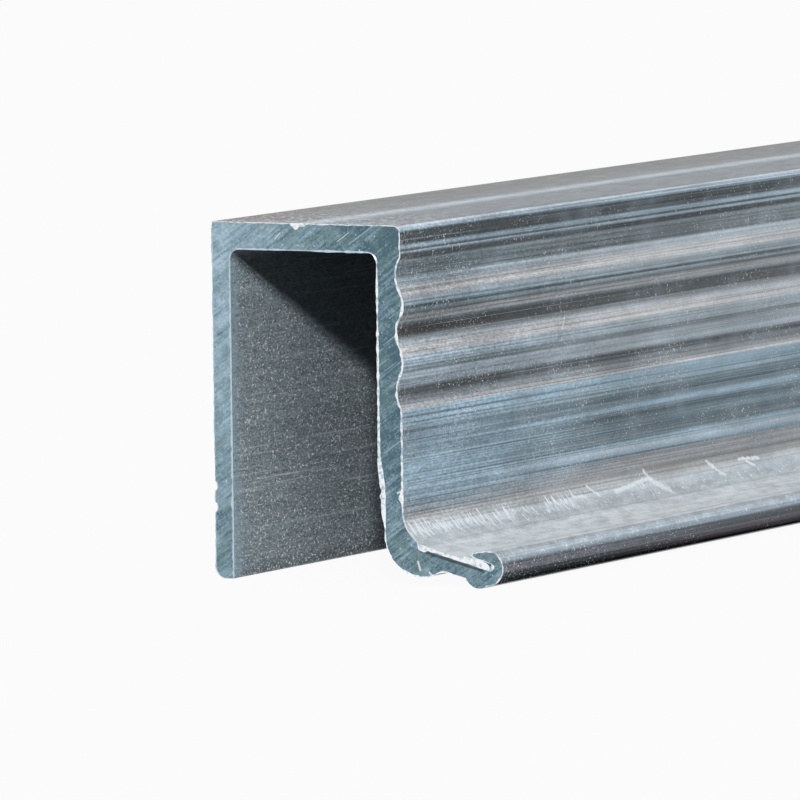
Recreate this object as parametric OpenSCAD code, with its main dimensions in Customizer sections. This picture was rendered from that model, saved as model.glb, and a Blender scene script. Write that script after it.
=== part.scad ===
// Extruded aluminium edge profile: an inverted U channel with one fluted leg,
// which turns into a short sloping foot with a rolled lip.
// The length lies along Y and the section is drawn in X and Z, standing on
// the end of the plain leg and on the sole of the lip.

/* [Stock] */
// Length of the bar
length = 1000; // [250:50:3000]
// Height of the section
height = 35; // [32:0.5:60]

/* [Channel] */
// Clear width between the legs, for the edge of a 16 mm board
channel_width = 16.2; // [10:0.1:30]
// Thickness of the plain leg
plain_wall = 2; // [1.5:0.1:4]
// Thickness of the top
top_wall = 2.7; // [1.5:0.1:4]
// Thickness of the fluted leg at its flat band
fluted_wall = 2.6; // [2:0.1:4]
// Radius of the two corners inside the channel
inside_radius = 1; // [0.4:0.1:2]
// Radius of the outer corner above the flutes
shoulder_radius = 0.8; // [0.3:0.1:1.2]
// Radius of the outer edge at the end of the plain leg
toe_radius = 1.1; // [0.4:0.1:1.3]

/* [Channel mouth] */
// How far the fluted leg's inner face steps back at the mouth
mouth_relief = 0.6; // [0.2:0.1:1]
// Height at which the step is complete
mouth_height = 9.3; // [8:0.1:12]
// Height of the slanted part of the step
mouth_slant = 3.8; // [1:0.1:6]

/* [Grooves of the plain leg] */
// Height of the rib between the two grooves
groove_height = 8; // [4:0.1:16]
// Distance between the grooves
groove_spacing = 2.1; // [1.2:0.1:4]
// Depth of each groove
groove_depth = 0.3; // [0.15:0.05:0.4]
// Radius of each groove's round bottom
groove_radius = 0.55; // [0.45:0.05:0.9]

/* [Flutes] */
// Number of valleys
flute_count = 3; // [1:1:3]
// Distance from one valley to the next
flute_pitch = 5.7; // [5:0.1:6]
// Depth from crest to valley
flute_depth = 0.7; // [0.4:0.05:0.9]
// How far the crests stand out from the flat band
crest_rise = 0.2; // [0.1:0.05:0.3]
// Distance from the top down to the first valley
first_valley = 4.8; // [4:0.1:6]

/* [Foot] */
// Reach of the lip beyond the flat band
foot_reach = 10.9; // [9:0.1:16]
// Fall of the foot in degrees
foot_fall = 14; // [8:0.5:20]
// Thickness of the foot
foot_wall = 1.5; // [1.2:0.1:1.8]
// Radius between the flat band and the foot
foot_radius = 4; // [3:0.1:5]
// Radius of the heel under the fluted leg
heel_radius = 4; // [3:0.1:4.5]
// Height of the heel above the floor
heel_clearance = 0.9; // [0.5:0.1:1.2]
// Radius of the hollow between the heel and the foot
hollow_radius = 2; // [1:0.1:3]

/* [Lip] */
// Radius of the lip's outer round
lip_radius = 1.7; // [1.5:0.05:2]
// Radius of the sole that the lip stands on
sole_radius = 1.6; // [1.4:0.05:1.8]
// How far the sole's centre lies behind the lip's centre
sole_setback = 1; // [0.7:0.05:1.2]
// How far the lip's centre lies above the sole's centre
lip_rise = 0.4; // [0.3:0.05:0.6]
// How far the lip's tip reaches back from the lip's centre
lip_overhang = 1.3; // [1.2:0.05:1.8]
// Fall of the lip towards its tip in degrees
lip_fall = 8; // [4:0.5:12]
// Radius of the lip's tip
tip_radius = 0.25; // [0.2:0.05:0.3]
// Height of the foot's upper side under the lip's centre
throat_height = 1.9; // [1.8:0.05:2.1]
// Gap between the foot and the lip
throat_gap = 0.75; // [0.6:0.05:0.9]
// Depth of the gap past the lip's centre
throat_depth = 0.1; // [0:0.05:0.4]
// How much steeper the gap's floor falls than the foot, in degrees
throat_dip = 2; // [1:0.5:4]

/* [Hidden] */
$fn = 64;
mill_finish = [0.66, 0.69, 0.71];
// Amount by which a cutting shape runs past the edge that it cuts
past = 1;
// Amount by which a round runs into the faces that it blends, so that they cross cleanly
blend = 0.005;

// Stations across the section, from the outer face of the plain leg
inner_x = plain_wall + channel_width;
mouth_x = inner_x + mouth_relief;
flat_x = inner_x + fluted_wall;
lip_x = flat_x + foot_reach - lip_radius;
sole_x = lip_x - sole_setback;
total_width = flat_x + foot_reach;

// Flutes: equal arcs for crests and valleys, which meet on their middle plane
valley_x = flat_x + crest_rise - flute_depth;
middle_x = valley_x + flute_depth / 2;
flute_radius = (flute_pitch * flute_pitch / 4 + flute_depth * flute_depth) / (4 * flute_depth);
first_valley_z = height - first_valley;

// Foot: it falls from the flat band to the throat, and foot_radius touches it and the band
foot_height = throat_height + (lip_x - flat_x) * tan(foot_fall);
foot_length = (lip_x - flat_x) / cos(foot_fall);
touch_length = foot_radius * tan((90 - foot_fall) / 2);
band_z = foot_height + touch_length;
lip_z = sole_radius + lip_rise;

// Heel, and the hollow that touches the heel's round and the foot's underside
heel_centre = [mouth_x + heel_radius, heel_clearance + heel_radius];
heel_start = [mouth_x, heel_centre[1]];
heel_along = (heel_centre[0] - flat_x) * cos(foot_fall) - (heel_centre[1] - foot_height) * sin(foot_fall);
heel_above = (heel_centre[0] - flat_x) * sin(foot_fall) + (heel_centre[1] - foot_height) * cos(foot_fall);
hollow_drop = foot_wall + hollow_radius;
hollow_along = heel_along + sqrt(pow(heel_radius + hollow_radius, 2) - pow(heel_above + hollow_drop, 2));
hollow_centre = foot_point(hollow_along, -hollow_drop);
hollow_touch = foot_point(hollow_along, -foot_wall);

// Point at a distance along the foot's upper side and a distance above it
function foot_point(along, above) = [
    flat_x + along * cos(foot_fall) + above * sin(foot_fall),
    foot_height - along * sin(foot_fall) + above * cos(foot_fall)
];

// Height of one valley's middle, counted from the top
function valley_z(i) = first_valley_z - i * flute_pitch;

// Piece outside a quarter round, for a corner that points along -X and -Y:
// it is cut from an outer corner and added to an inner one
module corner_piece(radius) {
    difference() {
        translate([-past, -past]) square(radius + past);
        translate([radius, radius]) circle(radius + blend);
    }
}

module plain_leg() {
    difference() {
        square([plain_wall, height]);
        corner_piece(toe_radius);
        for (side = [-1, 1])
            translate([groove_depth - groove_radius, groove_height + side * groove_spacing / 2])
                circle(groove_radius);
    }
}

module top_wall_and_corners() {
    translate([0, height - top_wall]) square([inner_x + past, top_wall]);
    translate([plain_wall, height - top_wall]) rotate(-90) corner_piece(inside_radius);
    translate([inner_x, height - top_wall]) rotate(180) corner_piece(inside_radius);
}

// Fluted leg down to the foot, with its inner face stepped back at the mouth
module leg_blank() {
    difference() {
        polygon([
            [inner_x, height],
            [inner_x, mouth_height + mouth_slant],
            [mouth_x, mouth_height],
            [mouth_x, heel_centre[1]],
            [flat_x, heel_centre[1]],
            [flat_x, height]
        ]);
        translate([flat_x, height]) rotate(180) corner_piece(shoulder_radius);
    }
}

module fluted_leg() {
    difference() {
        leg_blank();
        for (i = [0 : flute_count - 1])
            translate([valley_x + flute_radius, valley_z(i)]) circle(flute_radius);
        for (i = [1 : 1 : flute_count - 1])
            translate([middle_x, valley_z(i)]) square([flute_depth, flute_pitch]);
    }
    for (i = [0 : 1 : flute_count - 2])
        translate([0, valley_z(i) - flute_pitch / 2])
            flute_crest();
}

module flute_crest() {
    intersection() {
        translate([valley_x + flute_depth - flute_radius, 0]) circle(flute_radius + blend);
        translate([valley_x - past, -flute_pitch / 2]) square([past + 2 * flute_depth, flute_pitch]);
    }
}

module foot() {
    polygon([
        heel_start,
        hollow_touch,
        foot_point(foot_length, -foot_wall),
        foot_point(foot_length, 0),
        [flat_x, foot_height],
        [flat_x, band_z],
        [mouth_x, band_z]
    ]);
    heel();
    band_round();
    hollow_round();
}

// Round of the heel, below the chord from the inner face to the foot's underside
module heel() {
    intersection() {
        translate(heel_centre) circle(heel_radius);
        polygon([
            heel_start,
            heel_start - [past, 0],
            [mouth_x - past, hollow_centre[1]],
            [hollow_touch[0], hollow_centre[1]],
            hollow_touch
        ]);
    }
}

// Round between the flat band and the foot
module band_round() {
    centre = [flat_x + foot_radius, band_z];
    difference() {
        polygon([
            centre,
            [flat_x - past, band_z],
            [flat_x - past, foot_height],
            foot_point(touch_length, -foot_wall / 2)
        ]);
        translate(centre) circle(foot_radius + blend);
    }
}

// Round between the heel and the foot's underside
module hollow_round() {
    depth = (heel_radius - foot_wall / 2) / (heel_radius + hollow_radius);
    difference() {
        polygon([
            heel_centre + (hollow_centre - heel_centre) * depth,
            hollow_centre,
            foot_point(hollow_along, -foot_wall / 2)
        ]);
        translate(hollow_centre) circle(hollow_radius + blend);
    }
}

module lip() {
    translate([lip_x, lip_z]) {
        circle(lip_radius);
        rotate(lip_fall) lip_finger();
    }
    translate([sole_x, sole_radius])
        intersection() {
            circle(sole_radius);
            translate([-sole_radius, -sole_radius]) square([2 * sole_radius, sole_radius + lip_rise]);
        }
}

// Finger that carries the lip's round on to its tip; the throat trims its lower side
module lip_finger() {
    tip_height = lip_radius - blend - tip_radius;
    translate([-lip_overhang, tip_height]) {
        circle(tip_radius);
        translate([0, -tip_radius]) square([lip_overhang, 2 * tip_radius]);
    }
    translate([-lip_overhang - tip_radius / 3, 0]) square([lip_overhang, tip_height]);
}

// Gap over the foot, closed by a round end inside the lip
module throat() {
    mouth_length = sole_setback + sole_radius;
    translate(foot_point(foot_length - mouth_length, 0)) rotate(-foot_fall - throat_dip) {
        translate([-past, 0]) square([past + mouth_length + throat_depth, throat_gap]);
        translate([mouth_length + throat_depth, throat_gap / 2]) circle(throat_gap / 2);
    }
}

module section() {
    plain_leg();
    top_wall_and_corners();
    fluted_leg();
    difference() {
        union() {
            foot();
            lip();
        }
        throat();
    }
}

module profile() {
    color(mill_finish)
        rotate([90, 0, 0])
            linear_extrude(height = length, center = true)
                translate([-total_width / 2, 0])
                    section();
}

profile();
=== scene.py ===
import math

import bmesh
import bpy
from bpy.props import FloatProperty, FloatVectorProperty, IntProperty, PointerProperty
from bpy.types import Operator, Panel, PropertyGroup
from mathutils import Matrix, Vector, noise


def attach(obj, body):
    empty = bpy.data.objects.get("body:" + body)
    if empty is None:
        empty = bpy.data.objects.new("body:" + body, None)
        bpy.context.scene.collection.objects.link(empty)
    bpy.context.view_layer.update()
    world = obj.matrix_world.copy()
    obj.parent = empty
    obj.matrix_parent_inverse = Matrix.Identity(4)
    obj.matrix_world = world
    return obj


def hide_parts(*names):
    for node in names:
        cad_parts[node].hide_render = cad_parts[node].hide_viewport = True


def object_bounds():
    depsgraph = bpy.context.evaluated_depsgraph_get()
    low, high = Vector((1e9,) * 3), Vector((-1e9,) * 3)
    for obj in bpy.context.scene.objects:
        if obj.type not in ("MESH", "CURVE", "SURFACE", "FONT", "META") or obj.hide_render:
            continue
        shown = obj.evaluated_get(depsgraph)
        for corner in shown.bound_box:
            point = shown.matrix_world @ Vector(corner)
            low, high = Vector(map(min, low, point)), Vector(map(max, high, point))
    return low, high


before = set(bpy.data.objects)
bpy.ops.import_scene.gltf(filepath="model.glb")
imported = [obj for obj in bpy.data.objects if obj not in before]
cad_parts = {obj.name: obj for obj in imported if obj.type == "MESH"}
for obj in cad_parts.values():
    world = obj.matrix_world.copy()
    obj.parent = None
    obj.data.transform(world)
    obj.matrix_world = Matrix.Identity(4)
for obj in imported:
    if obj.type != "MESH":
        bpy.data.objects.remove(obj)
CAD_LOW, CAD_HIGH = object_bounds()
CAD_SIZE = CAD_HIGH - CAD_LOW

bl_info = {
    "name": "Fluted edge profile",
    "version": (1, 0, 0),
    "blender": (4, 5, 0),
    "location": "View3D > Sidebar > Profile",
    "description": "Dresses the packed frame of an aluminium edge profile and sets its stage",
    "category": "Object",
}

MM = 0.001
BODY = "root"
# Material slots of the bar
SKIN, CHANNEL, SAWN, BURR = range(4)
# How near two points count as one, and the slack of a test on a face's place
SAME_POINT, SLACK = 1e-7, 1e-6
# Fewest steps of an arc of the outline
ARC_STEPS = 4
# Part of a normal from which a face looks a way, and from which it leans that way
LOOKS, LEANS = 0.5, 0.1
# Sharpest bend that is still shaded smooth
CRISP_ANGLE = math.radians(24.0)
# Sizes of the fine and of the coarse tears of the burr, and how far each is moved from one end to the other
FINE_TEAR, COARSE_TEAR = 0.5 * MM, 2.4 * MM
FINE_SHIFT, COARSE_SHIFT = 9.0, 5.0
# The burr's lift, width and reach: what each has on average, and how it follows the fine and coarse tears
BURR_LIFT, BURR_WIDTH, BURR_REACH = (0.35, 0.6, 0.5), (0.8, 0.7, 0.5), (0.5, 0.9, 0.9)
# How a tongue of torn metal follows the fine tears: over the cut, out of the metal, and at its root
TONGUE_OVER, TONGUE_OUT, TONGUE_ROOT = 0.8, 0.15, 0.8
ROOT_REACH = 0.1 * MM
# Half the floor's width in metres
FLOOR_HALF = 400.0
# Nearest and farthest that the camera sees, in metres, and the width of its sensor in millimetres
CLIP_START, CLIP_END, SENSOR_WIDTH = 0.05, 1000.0, 36.0
WHITE = (1.0, 1.0, 1.0, 1.0)


def length(name, description, millimetres):
    """A size in metres, written here in millimetres"""
    return FloatProperty(
        name=name, description=description, default=millimetres * MM, min=0.0, precision=6, unit="LENGTH"
    )


def angle(name, description, degrees):
    """An angle in radians, written here in degrees"""
    return FloatProperty(
        name=name, description=description, default=math.radians(degrees), precision=5, subtype="ANGLE"
    )


def fraction(name, description, part):
    """A part of 1"""
    return FloatProperty(
        name=name, description=description, default=part, min=0.0, max=1.0, subtype="FACTOR"
    )


def colour(name, description, red, green, blue):
    """A linear colour with its alpha at 1"""
    return FloatVectorProperty(
        name=name, description=description, default=(red, green, blue, 1.0),
        size=4, min=0.0, max=1.0, subtype="COLOR",
    )


class ProfileSizes(PropertyGroup):
    """Sizes of the section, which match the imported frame"""

    channel_width: length("Channel width", "Clear width between the legs", 16.2)
    plain_wall: length("Plain wall", "Thickness of the plain leg", 2.0)
    top_wall: length("Top wall", "Thickness of the top", 2.7)
    fluted_wall: length("Fluted wall", "Thickness of the fluted leg at its flat band", 2.6)
    inside_radius: length("Inside radius", "Radius of the corners inside the channel", 1.0)
    shoulder_radius: length("Shoulder radius", "Radius of the outer corner above the flutes", 0.8)
    toe_radius: length("Toe radius", "Radius of the outer edge at the end of the plain leg", 1.1)
    edge_radius: length("Edge radius", "Radius that the die leaves on a sharp corner", 0.12)
    mouth_relief: length("Mouth relief", "How far the fluted leg steps back at the mouth", 0.6)
    mouth_height: length("Mouth height", "Height at which the step is complete", 9.3)
    mouth_slant: length("Mouth slant", "Height of the slanted part of the step", 3.8)
    groove_height: length("Groove height", "Height of the rib between the two grooves", 8.0)
    groove_spacing: length("Groove spacing", "Distance between the grooves", 2.1)
    groove_depth: length("Groove depth", "Depth of each groove", 0.3)
    groove_radius: length("Groove radius", "Radius of each groove's round bottom", 0.55)
    flute_count: IntProperty(name="Flutes", description="Number of valleys", default=3, min=1, max=3)
    flute_pitch: length("Flute pitch", "Distance from one valley to the next", 5.7)
    flute_depth: length("Flute depth", "Depth from crest to valley", 0.7)
    crest_rise: length("Crest rise", "How far the crests stand out from the flat band", 0.2)
    first_valley: length("First valley", "Distance from the top down to the first valley", 4.8)
    foot_reach: length("Foot reach", "Reach of the lip beyond the flat band", 10.9)
    foot_fall: angle("Foot fall", "Fall of the foot", 14.0)
    foot_wall: length("Foot wall", "Thickness of the foot", 1.5)
    foot_radius: length("Foot radius", "Radius between the flat band and the foot", 4.0)
    heel_radius: length("Heel radius", "Radius of the heel under the fluted leg", 4.0)
    heel_clearance: length("Heel clearance", "Height of the heel above the floor", 0.9)
    hollow_radius: length("Hollow radius", "Radius between the heel and the foot", 2.0)
    lip_radius: length("Lip radius", "Radius of the lip's outer round", 1.7)
    sole_radius: length("Sole radius", "Radius of the sole that the lip stands on", 1.6)
    sole_setback: length("Sole setback", "How far the sole lies behind the lip's centre", 1.0)
    lip_rise: length("Lip rise", "How far the lip's centre lies above the sole's centre", 0.4)
    lip_overhang: length("Lip overhang", "How far the lip's tip reaches back", 1.3)
    lip_fall: angle("Lip fall", "Fall of the lip towards its tip", 8.0)
    tip_radius: length("Tip radius", "Radius of the lip's tip", 0.25)
    throat_height: length("Throat height", "Height of the foot under the lip's centre", 1.9)
    throat_gap: length("Throat gap", "Gap between the foot and the lip", 0.75)
    throat_depth: length("Throat depth", "Depth of the gap past the lip's centre", 0.1)
    throat_dip: angle("Throat dip", "How much steeper the gap falls than the foot", 2.0)


class SawnEnds(PropertyGroup):
    """What the saw leaves on the two ends"""

    recess: length("Recess", "How far the cut lies behind the tips of its burr", 0.3)
    spacing: length("Spacing", "Distance between the points of the ragged edge", 0.2)
    rim: length("Rim", "Usual width of the burr's bright rim", 0.06)
    height: length("Height", "Most that the burr stands out of the cut", 0.2)
    reach: length("Reach", "Usual reach of the burr beyond the metal", 0.02)
    seed: IntProperty(name="Seed", description="Start of the burr's random shape", default=7, min=0)


# Tongues of torn metal at the near end, in millimetres of the section: where each lies, its half width
# and half height, how far it reaches out of the metal and in over the cut, and the side it grows from
BURR_TONGUES = (
    ((18.5, 9.4), (1.0, 4.0), 0.46, 0.04, (-1.0, 0.0)),
    ((18.2, 18.0), (0.8, 16.0), 0.08, 0.08, (-1.0, 0.0)),
    ((28.8, 2.2), (2.4, 1.2), 0.66, 0.0, (0.24, 0.97)),
    ((25.2, 3.1), (3.6, 1.4), 0.28, 0.03, (0.24, 0.97)),
    ((30.5, 2.05), (0.5, 0.5), 0.28, 0.10, (-0.96, 0.28)),
    ((30.0, 2.0), (2.4, 2.4), 0.0, 0.12, (1.0, 0.0)),
    ((29.2, 3.7), (1.8, 0.8), 0.0, 0.08, (0.0, 1.0)),
    ((23.0, 0.9), (3.4, 1.2), 0.01, 0.07, (0.0, -1.0)),
    ((22.9, 3.8), (0.6, 0.7), 0.0, 0.25, (0.24, 0.97)),
    ((20.7, 19.0), (1.2, 19.0), 0.03, 0.12, (1.0, 0.0)),
    ((21.0, 27.0), (0.6, 1.0), 0.14, 0.10, (1.0, 0.0)),
    ((20.5, 24.2), (0.6, 0.8), 0.12, 0.16, (1.0, 0.0)),
    ((20.9, 8.6), (0.6, 0.7), 0.0, 0.30, (1.0, 0.0)),
    ((2.0, 14.0), (0.5, 24.0), 0.02, 0.12, (1.0, 0.0)),
    ((9.6, 35.0), (0.9, 0.5), 0.0, 0.48, (0.0, 1.0)),
    ((11.0, 35.0), (14.0, 0.5), 0.0, 0.06, (0.0, 1.0)),
    ((14.5, 32.3), (4.0, 0.5), 0.05, 0.08, (0.0, -1.0)),
    ((10.0, 32.3), (9.0, 0.8), 0.0, 0.07, (0.0, -1.0)),
)


class FinishColours(PropertyGroup):
    """Colours of the mill finish, of the cut and of the floor"""

    # Pale is the brightest streaks, and also the painted highlights round the shoulder and along the lip's
    # top
    pale: colour("Pale", "Blue white of the brightest streaks", 0.54, 0.64, 0.72)
    mist: colour("Mist", "Light blue grey of softer streaks", 0.39, 0.475, 0.55)
    sky: colour("Sky", "Blue of the streaks on the flat band", 0.285, 0.405, 0.495)
    # Flank is painted light on flanks and faces that look up, and also leads into the top's pale streak
    flank: colour("Flank", "Pale grey of flanks that look up", 0.50, 0.515, 0.535)
    foot: colour("Foot", "Light grey of the foot and the lip's top", 0.94, 0.98, 1.0)
    hollow: colour("Hollow", "Light grey of the hollow over the foot", 0.545, 0.60, 0.645)
    top: colour("Top", "Grey of the top", 0.205, 0.208, 0.212)
    top_front: colour("Top front", "Blue grey of the top over the fluted leg", 0.24, 0.268, 0.30)
    plain: colour("Plain", "Grey of the plain leg's outer face", 0.47, 0.49, 0.51)
    # Warm is worn streaks, and also painted shade on faces that look down
    warm: colour("Warm", "Grey of worn streaks", 0.31, 0.32, 0.335)
    brown: colour("Brown", "Brown smear on the top", 0.19, 0.17, 0.155)
    band: colour("Band", "Blue grey of upright faces", 0.178, 0.236, 0.27)
    deep: colour("Deep", "Dark blue of the lines at the crests", 0.092, 0.14, 0.174)
    shade: colour("Shade", "Dark grey of flanks that look down", 0.064, 0.078, 0.087)
    front: colour("Front", "Grey of the lip's front", 0.138, 0.142, 0.172)
    dusk: colour("Dusk", "Purple grey low on the lip's front", 0.160, 0.140, 0.168)
    scuff: colour("Scuff", "Bluish white of scuffs", 0.87, 0.94, 1.0)
    # Under is painted shade on faces that look down, in the flutes' darkest valley and under the torn foot,
    # and also the colour of dark die hairs
    under: colour("Under", "Brown black of faces that look straight down", 0.014, 0.012, 0.012)
    inside: colour("Inside", "Grey of the channel's walls", 0.248, 0.310, 0.345)
    cut_light: colour("Light cut", "Palest blue grey of the cut", 0.40, 0.54, 0.64)
    cut_moss: colour("Mossy cut", "Green grey patches of the cut", 0.14, 0.235, 0.215)
    cut_dark: colour("Dark cut", "Darkest teal of the cut", 0.06, 0.125, 0.16)
    burr: colour("Burr", "Bright torn metal along the cut's edges", 0.90, 0.92, 0.94)
    speck: colour("Speck", "Dust and chips of metal", 0.82, 0.86, 0.90)
    floor: colour("Floor", "Pale floor", 0.75, 0.75, 0.75)


class StageLight(PropertyGroup):
    """Light of the stage: one soft lamp, and white all round"""

    energy: FloatProperty(name="Energy", description="Strength of the lamp", default=2.4, min=0.0)
    softness: angle("Softness", "Width of the lamp in the sky", 3.0)
    azimuth: angle("Azimuth", "Turn of the lamp away from the bar's own direction", 29.0)
    elevation: angle("Elevation", "Height of the lamp above the horizon", 23.0)
    fill: fraction("Fill", "Strength of the light from all round", 0.25)
    whiteness: fraction("Whiteness", "Share of plain white in the floor as it is seen", 0.94)


class CameraView(PropertyGroup):
    """Where the photograph was taken from, measured at the middle of the picture"""

    lens: FloatProperty(name="Lens", description="Focal length", default=502.87, min=1.0, unit="CAMERA")
    yaw: angle("Yaw", "Turn away from the bar's own direction", 28.135)
    pitch: angle("Pitch", "Downward tilt", 4.857)
    roll: angle("Roll", "Turn about the line of sight", -0.712)
    distance: length("Distance", "From the camera to the near end", 1081.85)
    across: length("Across", "Point looked at, from the plain leg's outer face", 20.76)
    above: length("Above", "Point looked at, from the floor", 18.10)


def point(x, z):
    """A point of the section"""
    return Vector((x, z))


def on_circle(centre, radius, turn):
    """The point of a circle at a turn from the X axis"""
    return centre + radius * Vector((math.cos(turn), math.sin(turn)))


def heading(vector):
    """The turn of a vector from the X axis"""
    return math.atan2(vector.y, vector.x)


class Section:
    """The strokes of the outline: lines to a point, and arcs given by centre, radius, start and sweep.
    It is walked with the metal on the left, so an outer round sweeps forwards and an inner one back."""

    def __init__(self, sizes):
        self.s = sizes
        self.strokes = []
        self.height = CAD_SIZE.z
        self.inner_x = sizes.plain_wall + sizes.channel_width
        self.mouth_x = self.inner_x + sizes.mouth_relief
        self.flat_x = self.inner_x + sizes.fluted_wall
        lip_x = self.flat_x + sizes.foot_reach - sizes.lip_radius
        self.lip = point(lip_x, sizes.sole_radius + sizes.lip_rise)
        self.sole = point(self.lip.x - sizes.sole_setback, sizes.sole_radius)
        self.foot_z = sizes.throat_height + (self.lip.x - self.flat_x) * math.tan(sizes.foot_fall)
        self.start = point(sizes.plain_wall, sizes.edge_radius)
        self.channel()
        self.heel_and_hollow()
        self.lip_and_throat()
        self.flutes()
        self.plain_leg()

    def line(self, x, z):
        self.strokes.append(("line", point(x, z)))

    def arc(self, centre, radius, start, sweep):
        self.strokes.append(("arc", centre, radius, start, sweep))

    def foot_point(self, along, above):
        """A point given along the foot's upper side and above it"""
        fall = self.s.foot_fall
        return point(
            self.flat_x + along * math.cos(fall) + above * math.sin(fall),
            self.foot_z - along * math.sin(fall) + above * math.cos(fall),
        )

    def foot_place(self, spot):
        """The distances of a point along the foot's upper side and above it"""
        fall = self.s.foot_fall
        x, z = spot.x - self.flat_x, spot.y - self.foot_z
        return x * math.cos(fall) - z * math.sin(fall), x * math.sin(fall) + z * math.cos(fall)

    def channel(self):
        s, quarter = self.s, math.pi / 2
        ceiling = self.height - s.top_wall
        corner_z = ceiling - s.inside_radius
        self.arc(point(s.plain_wall + s.inside_radius, corner_z), s.inside_radius, math.pi, -quarter)
        self.arc(point(self.inner_x - s.inside_radius, corner_z), s.inside_radius, quarter, -quarter)
        self.line(self.inner_x, s.mouth_height + s.mouth_slant)
        self.line(self.mouth_x, s.mouth_height)

    def heel_and_hollow(self):
        s = self.s
        heel = point(self.mouth_x + s.heel_radius, s.heel_clearance + s.heel_radius)
        along, above = self.foot_place(heel)
        drop = s.foot_wall + s.hollow_radius
        reach = math.sqrt((s.heel_radius + s.hollow_radius) ** 2 - (above + drop) ** 2)
        hollow = self.foot_point(along + reach, -drop)
        towards = heading(hollow - heel)
        self.arc(heel, s.heel_radius, math.pi, towards % math.tau - math.pi)
        end = math.pi / 2 - s.foot_fall
        self.arc(hollow, s.hollow_radius, towards + math.pi, end - towards - math.pi)

    def lip_and_throat(self):
        s = self.s
        along, above = self.foot_place(self.sole)
        chord = math.sqrt(s.sole_radius**2 - (above + s.foot_wall) ** 2)
        sole_start = heading(self.foot_point(along - chord, -s.foot_wall) - self.sole) % math.tau
        between = self.lip - self.sole
        reach = (s.sole_radius**2 - s.lip_radius**2 + between.length_squared) / (2 * between.length)
        side = math.sqrt(s.sole_radius**2 - reach**2)
        ahead = between.normalized()
        crossing = self.sole + reach * ahead + side * Vector((ahead.y, -ahead.x))
        sole_end = heading(crossing - self.sole) % math.tau
        self.arc(self.sole, s.sole_radius, sole_start, sole_end - sole_start)
        lip_start = heading(crossing - self.lip) % math.tau
        lip_end = math.pi / 2 + s.lip_fall
        self.arc(self.lip, s.lip_radius, lip_start, lip_end + math.tau - lip_start)
        throat_fall = s.foot_fall + s.throat_dip
        tip = self.lip + Matrix.Rotation(s.lip_fall, 2) @ point(-s.lip_overhang, s.lip_radius - s.tip_radius)
        self.arc(tip, s.tip_radius, lip_end, 1.5 * math.pi - throat_fall - lip_end)
        mouth = s.sole_setback + s.sole_radius
        length_of_foot = (self.lip.x - self.flat_x) / math.cos(s.foot_fall)
        pivot = self.foot_point(length_of_foot - mouth, 0.0)
        radius = s.throat_gap / 2
        end = pivot + Matrix.Rotation(-throat_fall, 2) @ point(mouth + s.throat_depth, radius)
        self.arc(end, radius, math.pi / 2 - throat_fall, -math.pi)
        self.line(pivot.x, pivot.y)

    def flutes(self):
        s = self.s
        touch = s.foot_radius * math.tan((math.pi / 2 - s.foot_fall) / 2)
        centre = point(self.flat_x + s.foot_radius, self.foot_z + touch)
        self.arc(centre, s.foot_radius, 1.5 * math.pi - s.foot_fall, s.foot_fall - math.pi / 2)
        radius = (s.flute_pitch**2 / 4 + s.flute_depth**2) / (4 * s.flute_depth)
        valley_x = self.flat_x + s.crest_rise - s.flute_depth
        half = math.asin(s.flute_pitch / 4 / radius)
        edge = math.acos(1 - (self.flat_x - valley_x) / radius)
        for i in reversed(range(s.flute_count)):
            z = self.height - s.first_valley - i * s.flute_pitch
            below = edge if i == s.flute_count - 1 else half
            over = edge if i == 0 else half
            self.arc(point(valley_x + radius, z), radius, math.pi + below, -below - over)
            if i > 0:
                crest = point(valley_x + s.flute_depth - radius, z + s.flute_pitch / 2)
                self.arc(crest, radius, -half, 2 * half)
        shoulder = point(self.flat_x - s.shoulder_radius, self.height - s.shoulder_radius)
        self.arc(shoulder, s.shoulder_radius, 0.0, math.pi / 2)

    def plain_leg(self):
        s, quarter = self.s, math.pi / 2
        self.arc(point(s.edge_radius, self.height - s.edge_radius), s.edge_radius, quarter, quarter)
        half = math.acos(1 - s.groove_depth / s.groove_radius)
        for side in (1, -1):
            centre = point(s.groove_depth - s.groove_radius, s.groove_height + side * s.groove_spacing / 2)
            self.arc(centre, s.groove_radius, half, -2 * half)
        self.arc(point(s.toe_radius, s.toe_radius), s.toe_radius, math.pi, quarter)
        inner_edge = point(s.plain_wall - s.edge_radius, s.edge_radius)
        self.arc(inner_edge, s.edge_radius, math.pi + quarter, quarter)


class OutlinePen:
    """Draws a section's strokes into a bmesh, at one place along the bar"""

    def __init__(self, bm, y, start):
        self.bm = bm
        self.y = y
        self.first = bm.verts.new(self.place(start))
        self.last = self.first

    def place(self, spot):
        return Vector((CAD_LOW.x + spot.x, self.y, CAD_LOW.z + spot.y))

    def line(self, spot):
        goal = self.place(spot)
        if (goal - self.last.co).length < SAME_POINT:
            return
        self.last = bmesh.ops.extrude_vert_indiv(self.bm, verts=[self.last])["verts"][0]
        self.last.co = goal

    def arc(self, centre, radius, start, sweep, spacing):
        self.line(on_circle(centre, radius, start))
        steps = max(ARC_STEPS, round(abs(sweep) * radius / spacing))
        made = bmesh.ops.spin(
            self.bm, geom=[self.last], cent=self.place(centre), axis=(0, -1, 0), dvec=(0, 0, 0),
            angle=sweep, steps=steps, use_merge=False, use_normal_flip=False, use_duplicate=False,
        )
        self.last = next(g for g in made["geom_last"] if isinstance(g, bmesh.types.BMVert))

    def close(self):
        bmesh.ops.contextual_create(self.bm, geom=[self.last, self.first])
        bmesh.ops.remove_doubles(self.bm, verts=self.bm.verts, dist=SAME_POINT)


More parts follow.
